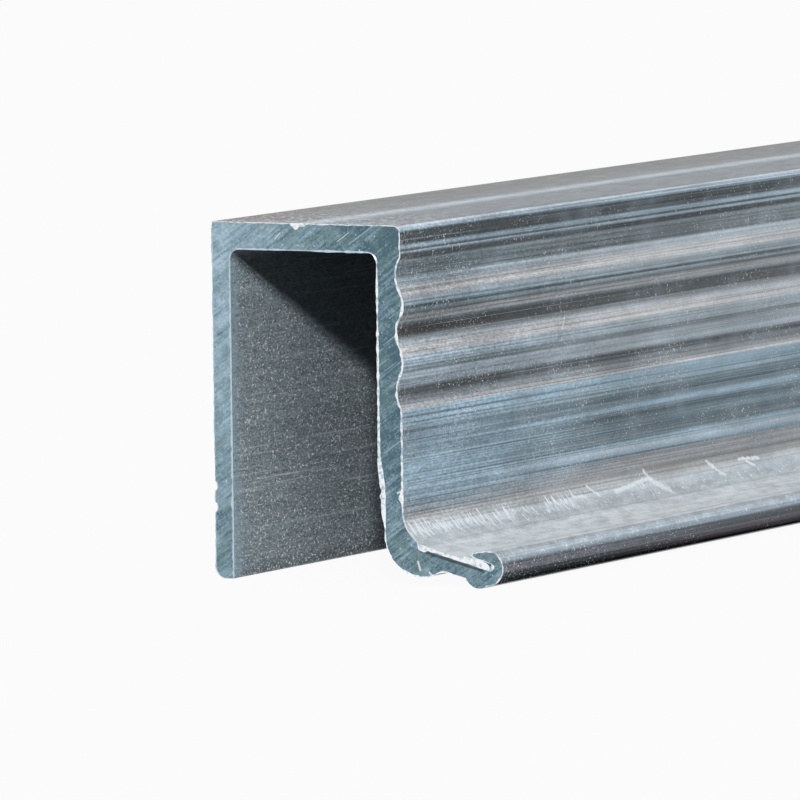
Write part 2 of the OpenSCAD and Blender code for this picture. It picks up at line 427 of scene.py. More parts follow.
def draw_outline(bm, section, y, spacing):
    """The section's outline as a closed loop of short edges"""
    pen = OutlinePen(bm, y, section.start)
    for stroke, *where in section.strokes:
        if stroke == "line":
            pen.line(*where)
        else:
            pen.arc(*where, spacing)
    pen.close()
    for edge in list(bm.edges):
        cuts = math.floor(edge.calc_length() / spacing)
        if cuts > 0:
            bmesh.ops.subdivide_edges(bm, edges=[edge], cuts=cuts)
    return list(bm.edges)


def sweep_along(bm, edges, stations):
    """Extrudes the outline through the stations along the bar and returns the last loop of edges"""
    y = edges[0].verts[0].co.y
    for station in stations:
        made = bmesh.ops.extrude_edge_only(bm, edges=edges)["geom"]
        moved = [g for g in made if isinstance(g, bmesh.types.BMVert)]
        bmesh.ops.translate(bm, verts=moved, vec=(0, station - y, 0))
        edges = [g for g in made if isinstance(g, bmesh.types.BMEdge)]
        loose = set(moved)
        edges = [e for e in edges if e.verts[0] in loose and e.verts[1] in loose]
        y = station
    return edges


def torn_reach(vert, outward):
    """Extra reach of the burr, out of the metal and in over the cut, where a tongue was torn"""
    out, over = 0.0, 0.0
    across, up = vert.co.x - CAD_LOW.x, vert.co.z - CAD_LOW.z
    for (x, z), (wide, high), most_out, most_over, grows in BURR_TONGUES:
        away = Vector(((across - x * MM) / wide, (up - z * MM) / high)) / MM
        if outward.x * grows[0] + outward.z * grows[1] > LOOKS:
            share = max(0.0, 1.0 - away.length_squared**2) * MM
            out = max(out, most_out * share)
            over = max(over, most_over * share)
    return out, over


def outward_of(vert):
    """Direction out of the metal at a point of the cut's edge"""
    sides = [f.normal for f in vert.link_faces if abs(f.normal.y) < LOOKS]
    return sum(sides, Vector()).normalized()


def uneven(mix, fine, coarse):
    """A size along the burr, which follows the fine and the coarse tears"""
    usual, fine_share, coarse_share = mix
    return usual + fine_share * fine + coarse_share * coarse


def close_cut(bm, edges, ends, side):
    """Fills one end and tears a ragged bright burr along its edges. The side is -1 at the near end and 1 at
    the far one"""
    face = bmesh.ops.contextual_create(bm, geom=edges)["faces"][0]
    bmesh.ops.recalc_face_normals(bm, faces=bm.faces)
    rim = bmesh.ops.inset_region(
        bm, faces=[face], thickness=ends.rim, depth=0.0, use_boundary=True, use_even_offset=True
    )["faces"]
    face.material_index = SAWN
    inner = set(face.verts)
    for strip in rim:
        strip.material_index = BURR
    moves = []
    for vert in inner:
        outer = next(e.other_vert(vert) for e in vert.link_edges if e.other_vert(vert) not in inner)
        moves.append((vert, outer, outward_of(outer), vert.co - outer.co))
    for vert, outer, outward, across in moves:
        fine = noise.noise(outer.co / FINE_TEAR + Vector((side * FINE_SHIFT, ends.seed, 0.0)))
        coarse = noise.noise(outer.co / COARSE_TEAR + Vector((ends.seed, side * COARSE_SHIFT, 0.0)))
        out, over = torn_reach(outer, outward) if side < 0 else (0.0, 0.0)
        torn = max(0.0, 1.0 - (out + over) / ends.height)
        lift = min(1.0, max(0.0, uneven(BURR_LIFT, fine, coarse))) * torn
        wide = across.length * uneven(BURR_WIDTH, fine, coarse) + over * (1.0 + TONGUE_OVER * fine)
        vert.co = outer.co + across.normalized() * wide
        reach = ends.reach * max(0.0, uneven(BURR_REACH, fine, coarse)) + out * (1.0 + TONGUE_OUT * fine)
        reach += min(out, ROOT_REACH) * TONGUE_ROOT * fine
        outer.co += outward * reach
        outer.co.y += side * ends.height * lift
        outer.co.x = min(max(outer.co.x, CAD_LOW.x), CAD_HIGH.x)
        outer.co.z = min(max(outer.co.z, CAD_LOW.z), CAD_HIGH.z)


def mark_channel(bm, section):
    """Gives the walls inside the channel their own finish"""
    s = section.s
    low = Vector((CAD_LOW.x + s.plain_wall, 0.0, CAD_LOW.z + s.heel_clearance + s.heel_radius))
    high = Vector((CAD_LOW.x + section.mouth_x, 0.0, CAD_LOW.z + section.height - s.top_wall))
    for face in bm.faces:
        middle = face.calc_center_median()
        drawn = face.material_index == SKIN and abs(face.normal.y) < LOOKS
        inside = low.x - SLACK < middle.x < high.x + SLACK and middle.z < high.z + SLACK
        plain_side = face.normal.x > LEANS
        fluted_side = face.normal.x < -LEANS and middle.z > low.z
        if drawn and inside and (plain_side or fluted_side or face.normal.z < -LOOKS):
            face.material_index = CHANNEL


def mesh_piece(name, bm, materials):
    """Turns a bmesh into a piece that rides on the bar's body"""
    mesh = bpy.data.meshes.new(name)
    bm.to_mesh(mesh)
    bm.free()
    piece = bpy.data.objects.new(name, mesh)
    bpy.context.scene.collection.objects.link(piece)
    for material in materials:
        mesh.materials.append(material)
    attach(piece, BODY)
    return piece


def shade_smooth(bm, limit):
    """Smooth faces, with a crisp edge wherever two meet at more than the limit"""
    for face in bm.faces:
        face.smooth = True
    for edge in bm.edges:
        edge.smooth = edge.is_manifold and edge.calc_face_angle(0.0) < limit


class NodeTree:
    """Adds nodes to a tree and links them"""

    def __init__(self, tree):
        self.tree = tree
        tree.nodes.clear()

    def add(self, kind, inputs=(), **settings):
        node = self.tree.nodes.new(kind)
        for key, value in settings.items():
            setattr(node, key, value)
        for key, value in dict(inputs).items():
            if isinstance(value, bpy.types.NodeSocket):
                self.tree.links.new(value, node.inputs[key])
            else:
                node.inputs[key].default_value = value
        return node

    def maths(self, operation, first, second=0.0, third=0.0, clamp=False):
        inputs = {0: first, 1: second, 2: third}
        return self.add("ShaderNodeMath", inputs, operation=operation, use_clamp=clamp).outputs[0]

    def times(self, first, *others):
        """The product of masks and numbers"""
        for other in others:
            first = self.maths("MULTIPLY", first, other)
        return first

    def most(self, first, *others):
        """The largest of some masks"""
        for other in others:
            first = self.maths("MAXIMUM", first, other)
        return first

    def minus(self, first, second):
        return self.maths("SUBTRACT", first, second)

    def line(self, value, factor, start):
        """The start plus the value times a factor"""
        return self.maths("MULTIPLY_ADD", value, factor, start)

    def between(self, value, low, high, smooth=True):
        """0 at or before low, 1 at or past high, which may lie below low"""
        inputs = {"Value": value, "From Min": low, "From Max": high}
        kind = "SMOOTHSTEP" if smooth else "LINEAR"
        return self.add("ShaderNodeMapRange", inputs, interpolation_type=kind).outputs[0]

    def window(self, value, low, full, full_end, end):
        """0 up to low, 1 from full to full_end, and 0 again from end on"""
        return self.times(self.between(value, low, full), self.between(value, end, full_end))

    def about(self, value, middle, core, width):
        """1 within the core round the middle, and 0 beyond the width"""
        return self.between(self.maths("ABSOLUTE", self.minus(value, middle)), width, core)

    def scaled(self, vector, x, y, z):
        return self.add("ShaderNodeVectorMath", {0: vector, 1: (x, y, z)}, operation="MULTIPLY").outputs[0]

    def split(self, vector):
        return self.add("ShaderNodeSeparateXYZ", {0: vector}).outputs

    def flat(self, first, second):
        """A place in two directions"""
        return self.add("ShaderNodeCombineXYZ", {0: first, 1: second}).outputs[0]

    def noise(self, vector, scale, detail=2.0, rough=0.5):
        inputs = {"Vector": vector, "Scale": scale, "Detail": detail, "Roughness": rough}
        return self.add("ShaderNodeTexNoise", inputs).outputs[0]

    def grit(self, vector, scale, least):
        """1 on the grains of a fine noise that rise over the least value"""
        return self.between(self.minus(self.noise(vector, scale, 1.0, 0.6), least), 0.0, 0.06)

    def ramp(self, value, stops):
        """Colours at places given in the value's own units, in rising order"""
        low, high = stops[0][0], stops[-1][0]
        node = self.add("ShaderNodeValToRGB", {0: self.between(value, low, high, smooth=False)})
        elements = node.color_ramp.elements
        while len(elements) < len(stops):
            elements.new(0.5)
        for element, (place, shade) in zip(elements, stops):
            element.position = (place - low) / (high - low)
            element.color = shade
        return node.outputs[0]

    def mix(self, factor, first, second, blend="MIX"):
        inputs = {0: factor, 6: first, 7: second}
        return self.add("ShaderNodeMix", inputs, data_type="RGBA", blend_type=blend).outputs[2]

    def paint(self, base, mask, share, shade):
        """Lays a share of a shade over the base, where the mask is"""
        return self.mix(self.times(mask, share), base, shade)

    def shaded(self, base, factor):
        """The base times a factor"""
        return self.mix(1.0, base, factor, "MULTIPLY")

    def mottled(self, base, pattern, mask, amount):
        """Lightens and darkens the base with a noise pattern, by up to half the amount"""
        swing = self.minus(self.between(pattern, 0.3, 0.7), 0.5)
        return self.shaded(base, self.line(self.times(swing, mask), amount, 1.0))


class BarPlaces:
    """Where a point of the bar lies, in millimetres: across from the plain leg's outer face, along from the
    near end, inward from the nearest end, and its height z"""

    def __init__(self, n):
        self.n = n
        self.all = n.scaled(n.add("ShaderNodeTexCoord").outputs["Object"], 1 / MM, 1 / MM, 1 / MM)
        x, y, self.z = n.split(self.all)
        self.across = n.minus(x, CAD_LOW.x / MM)
        self.along = n.minus(y, CAD_LOW.y / MM)
        self.inward = n.minus(CAD_SIZE.y / 2 / MM, n.maths("ABSOLUTE", y))

    def drawn(self, share):
        """The place with only a share of its way along the bar, which draws a noise out into streaks"""
        return self.n.scaled(self.all, 1.0, share, 1.0)


class MillPlaces(BarPlaces):
    """The bar's places with the way a face looks, and masks of the top, the foot, the fluted face and of
    where the die lines are strong"""

    def __init__(self, n):
        super().__init__(n)
        up = n.split(n.add("ShaderNodeNewGeometry").outputs["Normal"])[2]
        self.tilt = n.line(up, 0.5, 0.5)
        self.on_top = n.times(n.between(self.z, 34.0, 34.5), n.between(up, 0.9, 0.99))
        self.on_foot = n.times(n.between(self.z, 6.2, 5.2), n.between(up, 0.3, 0.6))
        self.fluted = n.times(
            n.window(self.across, 19.2, 19.6, 26.0, 27.0),
            n.between(self.z, 2.6, 3.4),
            n.window(up, -0.62, -0.5, 0.98, 0.999),
        )
        lined = n.line(n.most(self.on_foot, n.times(self.on_top, 0.8)), -0.8, 1.0)
        self.lined = n.times(lined, n.line(n.between(self.inward, 70.0, 20.0), 0.25, 0.75))


def new_material(name):
    material = bpy.data.materials.new(name)
    material.use_nodes = True
    return material, NodeTree(material.node_tree)


def finish_metal(n, base, rough, metallic, bump, depth, specular=0.5):
    """A metal with a fine relief, whose depth is in millimetres"""
    normal = n.add("ShaderNodeBump", {"Height": bump, "Distance": depth * MM}).outputs[0]
    shader = n.add("ShaderNodeBsdfPrincipled", {
        "Base Color": base, "Roughness": rough, "Metallic": metallic, "Specular IOR Level": specular,
        "Normal": normal,
    })
    n.add("ShaderNodeOutputMaterial", {0: shader.outputs[0]})


def band_tone(n, c, near, z):
    """Streaks of the hollow and the flat band by height, bluer near the cut"""
    streaks = n.ramp(z, (
        (3.3, c.foot), (4.4, c.hollow), (5.5, c.hollow), (6.1, c.flank), (6.9, c.warm), (8.3, c.warm),
        (8.8, c.sky), (9.15, c.mist), (9.6, c.mist), (10.0, c.sky), (10.4, c.band), (10.9, c.band),
        (11.3, c.deep), (11.9, c.band), (12.6, c.deep), (12.9, c.band), (13.2, c.sky), (13.7, c.sky),
        (13.95, c.band), (14.5, c.deep), (15.4, c.band), (15.8, c.sky), (17.2, c.sky),
    ))
    streaks = n.paint(streaks, n.times(n.between(z, 6.2, 8.5), near), 0.9, c.sky)
    tan = n.times(n.window(z, 5.7, 6.2, 6.8, 7.4), n.line(near, -0.3, 0.3))
    return n.mix(tan, streaks, c.brown)


def shoulder_tone(n, c, z):
    """Streaks above the flutes by height, and a painted highlight round the shoulder"""
    return n.ramp(z, (
        (31.5, c.band), (31.72, c.shade), (32.0, c.shade), (32.14, c.deep), (32.24, c.mist), (32.38, c.mist),
        (32.46, c.deep), (32.62, c.deep), (32.74, c.mist), (33.0, c.sky), (33.2, c.shade), (34.2, c.shade),
        (34.36, c.deep), (34.48, c.sky), (34.60, c.pale), (34.88, c.pale), (34.96, c.top_front),
    ))


def fluted_tone(n, c, sizes, at):
    """Tone of the fluted leg's outer face: one ramp for every flute, which paints light on the flanks that
    look up and shade on those that look down, with streaks by height over it
    """
    z = at.z
    near = n.between(at.along, 50.0, 5.0)
    pitch = sizes.flute_pitch / MM
    valley = (CAD_SIZE.z - sizes.first_valley) / MM
    phase = n.maths("FRACT", n.maths("DIVIDE", n.minus(valley + pitch, z), pitch))
    flute = n.ramp(phase, (
        (0.0, c.shade), (0.06, c.shade), (0.10, c.band), (0.14, c.warm), (0.19, c.mist), (0.23, c.flank),
        (0.36, c.flank), (0.40, c.mist), (0.45, c.mist), (0.48, c.sky), (0.52, c.sky), (0.54, c.deep),
        (0.55, c.shade), (0.575, c.shade), (0.59, c.deep), (0.61, c.band), (0.66, c.band), (0.70, c.warm),
        (0.78, c.warm), (0.83, c.band), (0.88, c.shade), (1.0, c.shade),
    ))
    crest = n.times(n.window(phase, 0.38, 0.44, 0.49, 0.53), n.line(near, -0.55, 0.6))
    # Painted shade: nearly black in the second valley near the cut
    black = n.times(n.window(z, 24.1, 24.4, 24.8, 25.4), near)
    # These adjust the painted light and shade: the first valley lighter, thin pale lines, the third flute's
    # lower flank darker, and the painted black valley
    for mask, share, shade in (
        (n.between(z, 29.6, 30.1), 0.7, c.band),
        (n.about(z, 29.5, 0.1, 0.45), 0.8, c.mist),
        (n.about(z, 21.45, 0.1, 0.35), 0.8, c.mist),
        (crest, 1.0, c.band),
        (n.window(z, 18.9, 19.4, 20.4, 20.7), 0.75, c.mist),
        (n.window(z, 17.3, 17.6, 18.4, 18.8), 0.55, c.shade),
        (black, 0.95, c.under),
    ):
        flute = n.paint(flute, mask, share, shade)
    strength = n.line(near, 0.25, 0.78)
    flute = n.add("ShaderNodeHueSaturation", {"Saturation": strength, "Color": flute}).outputs[0]
    tone = n.mix(n.between(z, 16.9, 17.2), band_tone(n, c, near, z), flute)
    return n.mix(n.between(z, 31.4, 31.6), tone, shoulder_tone(n, c, z))


def top_tone(n, c, at):
    """Tone of the top: bluer over the fluted leg, with one pale streak and a brown smear at the near end"""
    tone = n.ramp(at.across, (
        (0.0, c.top), (4.0, c.top), (8.9, c.top_front), (10.0, c.flank), (10.9, c.pale), (11.7, c.mist),
        (12.9, c.top_front), (20.0, c.top_front),
    ))
    smear = n.times(n.between(at.across, 8.0, 3.4), n.between(at.along, 22.0, 1.0))
    return n.paint(tone, smear, 0.8, c.brown)


def lip_tone(n, c, at):
    """Painted light and shade on the lip by the way its round faces: light above, grey in front and nearly
    black below, darker away from the cut
    """
    tone = n.ramp(at.tilt, (
        (0.12, c.under), (0.31, c.shade), (0.44, c.front), (0.61, c.front), (0.68, c.band), (0.755, c.mist),
        (0.82, c.pale), (0.88, c.pale), (0.93, c.hollow), (0.962, c.hollow), (0.985, c.foot),
    ))
    far = n.between(at.along, 10.0, 60.0)
    tone = n.paint(tone, n.times(n.window(at.tilt, 0.36, 0.48, 0.58, 0.66), far), 0.7, c.shade)
    tone = n.paint(tone, n.times(n.window(at.tilt, 0.14, 0.26, 0.34, 0.44), far), 0.9, c.dusk)
    sole = n.times(n.between(at.across, 30.9, 30.3), n.between(at.tilt, 0.5, 0.4))
    return n.mix(sole, tone, c.warm)


def mill_tone(n, c, sizes, at):
    """Painted light and shade on every drawn face by the way it looks, with tones by where it lies"""
    # Painted light and shade: faces that look down darker, faces that look up paler
    tone = n.ramp(at.tilt, ((0.0, c.warm), (0.4, c.warm), (0.5, c.plain), (0.75, c.flank), (0.97, c.top)))
    tone = n.mix(at.on_top, tone, top_tone(n, c, at))
    tone = n.mix(n.between(at.across, 24.0, 25.0), tone, lip_tone(n, c, at))
    return n.mix(at.fluted, tone, fluted_tone(n, c, sizes, at))


def die_lines(n, c, at, hair, base):
    """Lines that the die draws along the bar, dustier at its ends, with single bright and dark hairs"""
    soft = n.between(n.noise(at.drawn(0.002), 1.2, 3.0, 0.6), 0.25, 0.75)
    grain = n.between(n.noise(at.drawn(0.4), 4.2, 3.0, 0.75), 0.25, 0.75)
    dusty = n.line(n.between(at.inward, 55.0, 10.0), 0.42, 0.32)
    lines = n.times(
        n.line(soft, 0.4, 0.8),
        n.line(n.between(hair, 0.3, 0.7), 0.8, 0.6),
        n.line(n.minus(grain, 0.5), dusty, 1.0),
    )
    base = n.shaded(base, n.line(n.minus(lines, 1.0), at.lined, 1.0))
    worn = n.between(n.noise(at.drawn(0.02), 0.5, 3.0), 0.5, 0.75)
    for mask, share, shade in (
        (n.between(hair, 0.57, 0.64), 0.45, c.mist),
        (n.between(hair, 0.42, 0.35), 0.4, c.under),
        (worn, 0.3, c.shade),
    ):
        base = n.paint(base, n.times(mask, at.lined), share, shade)
    return base


def dusted(n, c, at, base):
    """Clouds and pale prints on the fluted face, and dust that gathers round the prints and at the ends"""
    base = n.mottled(base, n.noise(at.drawn(0.22), 0.3, 4.0, 0.65), n.times(at.fluted, at.lined), 0.5)
    prints = n.between(n.noise(at.drawn(0.6), 0.16, 3.0, 0.6), 0.46, 0.70)
    prints = n.times(prints, n.between(at.inward, 12.0, 30.0))
    base = n.paint(base, n.times(prints, at.fluted), 0.22, c.mist)
    patches = n.between(n.noise(at.drawn(0.5), 0.14, 2.0), 0.38, 0.58)
    least = n.line(prints, -0.05, n.line(n.between(at.inward, 50.0, 5.0), -0.035, 0.68))
    on_lip = n.times(
        n.between(at.across, 29.2, 30.2),
        n.between(at.tilt, 0.33, 0.45),
        n.line(n.between(at.inward, 45.0, 10.0), 0.7, 0.3),
    )
    dust = n.most(
        n.times(n.grit(at.all, 4.6, least), patches),
        n.grit(at.all, 2.6, 0.75),
        n.times(n.grit(at.all, 2.8, 0.62), at.on_foot),
        n.times(n.grit(at.drawn(0.5), 3.8, 0.70), on_lip),
    )
    return n.paint(base, dust, 0.7, c.burr)


def handled(n, c, at, base):
    """Smudges of the top and the foot, sawdust on the top, scuffs, and chips at the very ends"""
    base = n.mottled(base, n.noise(at.drawn(0.4), 0.9, 4.0, 0.7), n.most(at.on_top, at.on_foot), 0.36)
    pitted = n.between(n.noise(at.drawn(0.6), 3.2, 2.0, 0.7), 0.62, 0.72)
    base = n.paint(base, n.times(pitted, at.on_foot), 0.35, c.mist)
    sawdust = n.times(at.on_top, n.between(at.inward, 32.0, 2.0))
    base = n.mottled(base, n.noise(at.drawn(0.5), 1.6, 4.0, 0.75), sawdust, 0.7)
    grains = n.times(n.grit(at.drawn(0.4), 2.4, 0.58), sawdust, sawdust)
    base = n.paint(base, grains, 0.8, c.burr)
    base = n.paint(base, n.times(scuffs(n, at), at.fluted), 0.95, c.scuff)
    chips = n.between(n.noise(at.all, 2.8, 3.0, 0.7), 0.5, 0.7)
    return n.paint(base, n.times(chips, n.between(at.inward, 5.0, 0.0)), 0.45, c.burr)


# Single scuffs of the fluted face, most of them over the foot, in millimetres from the near end and up from
# the floor: where each starts, where it ends and its half width
SCUFFS = (
    ((51.7, 6.8), (52.9, 5.7), 0.20),
    ((52.4, 5.9), (55.5, 4.5), 0.42),
    ((44.6, 5.3), (52.0, 5.9), 0.28),
    ((66.0, 6.5), (68.6, 4.9), 0.26),
    ((73.0, 6.1), (77.5, 5.9), 0.22),
    ((74.6, 5.8), (76.0, 5.2), 0.18),
    ((39.0, 6.3), (41.0, 5.2), 0.20),
    ((35.4, 5.6), (38.0, 5.4), 0.18),
    ((9.4, 33.6), (9.6, 32.4), 0.06),
    ((34.0, 22.4), (35.6, 23.6), 0.06),
    ((6.9, 28.9), (7.2, 28.3), 0.08),
)


# Chips left on the cut, in millimetres of the section: where each starts, where it ends and its half width
CHIPS = (
    ((22.35, 2.4), (22.60, 1.6), 0.14),
    ((23.60, 1.4), (23.85, 1.1), 0.12),
    ((7.0, 33.4), (7.6, 34.0), 0.05),
    ((13.9, 33.3), (15.2, 34.2), 0.05),
    ((20.2, 9.0), (20.6, 9.2), 0.12),
)


def stroke(n, along, up, start, end, width):
    """1 on a straight mark between two points"""
    run, rise = end[0] - start[0], end[1] - start[1]
    square = run * run + rise * rise
    share = n.line(up, rise / square, -(start[0] * run + start[1] * rise) / square)
    share = n.maths("MULTIPLY_ADD", along, run / square, share, clamp=True)
    off_along = n.minus(along, n.line(share, run, start[0]))
    off_up = n.minus(up, n.line(share, rise, start[1]))
    away = n.maths("SQRT", n.line(off_along, off_along, n.times(off_up, off_up)))
    return n.between(away, width * 1.15, width * 0.3)


def scuffs(n, at):
    """Scuffs of the fluted face: a dense hatch over the foot near the cut, and single strokes"""
    along, z = at.along, at.z
    slanted = n.line(z, 0.55, along)
    hatch = n.noise(n.flat(n.times(slanted, 2.0), n.times(z, 0.6)), 1.0, 3.0, 0.7)
    ends = n.noise(n.flat(n.times(slanted, 1.7), 7.0), 1.0, 2.0, 0.7)
    starts = n.noise(n.flat(n.times(slanted, 1.5), 19.0), 1.0, 2.0, 0.7)
    groups = n.noise(n.flat(n.times(along, 0.45), n.times(z, 0.8)), 1.0, 2.0)
    crowd = n.ramp(along, [(place, (share, share, share, 1.0)) for place, share in (
        (0.0, 1.0), (9.0, 0.85), (20.0, 0.75), (24.0, 0.3), (28.0, 0.35), (30.0, 0.75), (34.0, 0.6),
        (37.0, 0.1), (48.0, 0.1), (52.0, 0.35), (55.0, 0.0),
    )])
    top = n.line(n.between(ends, 0.3, 0.7), 1.7, 4.8)
    foot = n.line(n.between(starts, 0.3, 0.7), 1.2, 4.1)
    thick = n.line(crowd, 0.16, n.line(groups, 0.35, hatch))
    marks = n.times(
        n.between(thick, 0.76, 0.82),
        n.between(n.minus(z, foot), -0.2, 0.3),
        n.between(n.minus(top, z), -0.2, 0.3),
        n.between(crowd, 0.05, 0.3),
    )
    shaken = n.noise(at.all, 2.4, 3.0, 0.7)
    along_shaken = n.line(shaken, 1.0, n.minus(along, 0.5))
    up_shaken = n.line(hatch, 0.7, n.minus(z, 0.35))
    brushed = n.line(n.between(n.noise(at.all, 6.0, 2.0, 0.7), 0.35, 0.6), 0.5, 0.5)
    for start, end, width in SCUFFS:
        mark = stroke(n, along_shaken, up_shaken, start, end, width)
        marks = n.most(marks, n.times(mark, brushed))
    haze = n.times(n.window(z, 4.0, 5.0, 5.6, 6.6), crowd, n.between(shaken, 0.2, 0.8))
    return n.most(marks, n.times(haze, 0.3))


def mill_material(c, sizes):
    """Drawn aluminium: painted light and shade by the way a face looks, die lines along the bar, dust and
    scuffs
    """
    material, n = new_material("mill_finish")
    at = MillPlaces(n)
    hair = n.noise(at.drawn(0.002), 4.2, 3.0, 0.75)
    base = mill_tone(n, c, sizes, at)
    base = die_lines(n, c, at, hair, base)
    base = dusted(n, c, at, base)
    base = handled(n, c, at, base)
    rough = n.line(hair, 0.25, 0.25)
    dull = n.times(n.between(at.across, 30.3, 30.9), n.between(at.tilt, 0.5, 0.25))
    metallic = n.line(n.most(dull, n.times(at.on_foot, 0.5)), -0.6, 0.6)
    finish_metal(n, base, rough, metallic, hair, 0.005, specular=0.0)
    return material


def channel_material(c):
    """Walls inside the channel: dull grey with faint die lines and bright grit, densest near the cut, with
    the top's cast shadow painted dark and painted light that fades away from the open end
    """
    material, n = new_material("channel_wall")
    at = BarPlaces(n)
    sand = n.noise(at.drawn(0.4), 4.0, 3.0, 0.75)
    lines = n.noise(at.drawn(0.01), 3.0, 3.0, 0.75)
    depth = n.between(at.inward, 28.0, 0.0)
    # Painted light: brighter near the open end, where more light gets in, and darker towards the bottom; the
    # sand and the lines are the wall's own
    light = n.times(
        n.line(n.between(sand, 0.3, 0.7), 0.8, 0.6),
        n.line(n.between(lines, 0.3, 0.8), 0.4, 0.8),
        n.line(depth, 0.45, 0.7),
        n.line(n.between(at.z, 0.4, 2.2), 0.35, 0.65),
    )
    base = n.shaded(c.inside, light)
    scored = n.line(n.window(at.z, 6.0, 8.5, 11.5, 14.0), 0.3, 0.12)
    base = n.mix(n.times(n.between(lines, 0.60, 0.66), scored), base, c.speck)
    least = n.line(n.between(n.noise(at.all, 0.22, 3.0), 0.35, 0.65), -0.05, 0.66)
    grit = n.most(
        n.times(n.grit(at.drawn(0.55), 5.2, 0.57), 0.42),
        n.grit(at.drawn(0.55), 4.2, least),
        n.grit(at.all, 2.2, 0.69),
    )
    # Painted shadow: lit is the part below the slanted edge of the shadow that the top casts; beyond it the
    # wall is painted dark, darker still near the cut
    lit = n.between(n.line(at.inward, 0.486, at.z), 32.8, 31.0)
    base = n.shaded(base, n.most(lit, n.line(depth, -0.35, 0.72)))
    # The bright grit is painted only in the lit part, so it stands partly for glints of the lamp; the pale
    # strip near the cut is also kept to the lit part
    base = n.mix(n.times(grit, lit, n.line(depth, 0.3, 0.7)), base, c.burr)
    haze = n.times(n.between(at.inward, 3.2, 0.3), lit, n.between(sand, 0.2, 0.55))
    base = n.paint(base, haze, 0.65, c.cut_light)
    finish_metal(n, base, 0.7, 0.1, sand, 0.03, specular=0.2)
    return material


def sawn_material(c, sizes):
    """The cut: teal grey with the saw's slanting marks, chips, and a painted shadow line under the torn foot
    """
    material, n = new_material("sawn_cut")
    at = BarPlaces(n)
    slant = {"Vector": at.all, "Rotation": (0.0, math.radians(35.0), 0.0)}
    turned = n.add("ShaderNodeMapping", slant).outputs[0]
    sawn = n.scaled(turned, 0.06, 1.0, 1.0)
    marks = n.noise(sawn, 3.0, 3.0, 0.75)
    pale = n.times(n.between(at.across, 19.0, 0.0), n.between(at.z, -22.0, 34.0))
    pale = n.most(pale, n.times(n.between(at.z, 13.0, 8.0), 0.3))
    light = n.line(pale, 0.62, -2.11)
    for noise_share, amount in (
        (n.noise(at.all, 0.8, 5.0, 0.72), 1.1),
        (marks, 1.5),
        (n.noise(at.all, 4.0, 2.0, 0.7), 1.0),
        (n.noise(sawn, 0.55, 3.0, 0.65), 0.8),
    ):
        light = n.line(noise_share, amount, light)
    base = n.mix(light, c.cut_dark, c.cut_light)
    base = n.paint(base, n.between(n.noise(at.all, 0.55, 3.0, 0.6), 0.48, 0.62), 0.38, c.cut_moss)
    scratches = n.noise(n.scaled(turned, 0.05, 1.0, 1.0), 2.9, 1.0)
    base = n.paint(base, n.between(scratches, 0.64, 0.72), 0.45, c.cut_light)
    specks = n.times(n.grit(at.all, 3.4, 0.69), 0.6)
    for start, end, width in CHIPS:
        chip = stroke(n, at.across, at.z, start, end, width)
        specks = n.most(specks, n.times(chip, 0.75))
    base = n.mix(specks, base, c.speck)
    # Painted shadow: a dark line under the burr torn up along the foot's top edge
    fold = n.line(at.across, math.tan(sizes.foot_fall), at.z)
    burr_shadow_line = n.times(n.about(fold, 9.10, 0.05, 0.24), n.window(at.across, 22.0, 24.0, 29.3, 29.8))
    base = n.paint(base, burr_shadow_line, 0.75, c.under)
    finish_metal(n, base, 0.42, 0.5, marks, 0.02)
    return material


def burr_material(c):
    """Torn metal along the edges of the cut: white on the fluted leg and the top, duller on the plain leg"""
    material, n = new_material("torn_burr")
    at = BarPlaces(n)
    grain = n.noise(at.all, 2.2, 3.0, 0.6)
    white = n.most(n.between(at.across, 16.0, 18.0), n.between(at.z, 34.0, 34.6))
    white = n.times(n.line(white, 0.75, 0.25), n.between(grain, 0.34, 0.56))
    finish_metal(n, n.mix(white, c.cut_light, c.burr), 0.4, 0.4, grain, 0.04)
    return material


def seen_rays(n):
    """1 for rays from the camera, and for those that metal or glass sends on"""
    path = n.add("ShaderNodeLightPath").outputs
    return n.most(path["Is Camera Ray"], path["Is Glossy Ray"], path["Is Transmission Ray"])


def floor_material(c, whiteness):
    """Pale floor that shows white to the camera and to reflections and still takes a soft shadow"""
    material, n = new_material("pale_floor")
    matte = n.add("ShaderNodeBsdfDiffuse", {"Color": c.floor}).outputs[0]
    white = n.add("ShaderNodeEmission", {"Color": WHITE, "Strength": 1.0}).outputs[0]
    share = n.times(seen_rays(n), whiteness)
    blended = n.add("ShaderNodeMixShader", {0: share, 1: matte, 2: white}).outputs[0]
    n.add("ShaderNodeOutputMaterial", {0: blended})
    return material


class PROFILE_OT_bar(Operator):
    """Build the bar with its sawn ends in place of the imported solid"""

    bl_idname = "profile.bar"
    bl_label = "Profile bar"

    def execute(self, context):
        sizes = context.scene.profile_sizes
        ends = context.scene.profile_ends
        colours = context.scene.profile_colours
        section = Section(sizes)
        near, far = CAD_LOW.y + ends.recess, CAD_HIGH.y - ends.recess
        bm = bmesh.new()
        first = draw_outline(bm, section, near, ends.spacing)
        last = sweep_along(bm, first, [near + ends.recess, far - ends.recess, far])
        close_cut(bm, first, ends, -1)
        close_cut(bm, last, ends, 1)
        bmesh.ops.recalc_face_normals(bm, faces=bm.faces)
        mark_channel(bm, section)
        shade_smooth(bm, CRISP_ANGLE)
        materials = [
            mill_material(colours, sizes),
            channel_material(colours),
            sawn_material(colours, sizes),
            burr_material(colours),
        ]
        bar = mesh_piece("profile_bar", bm, materials)
        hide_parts("profile")
        return {"FINISHED"}


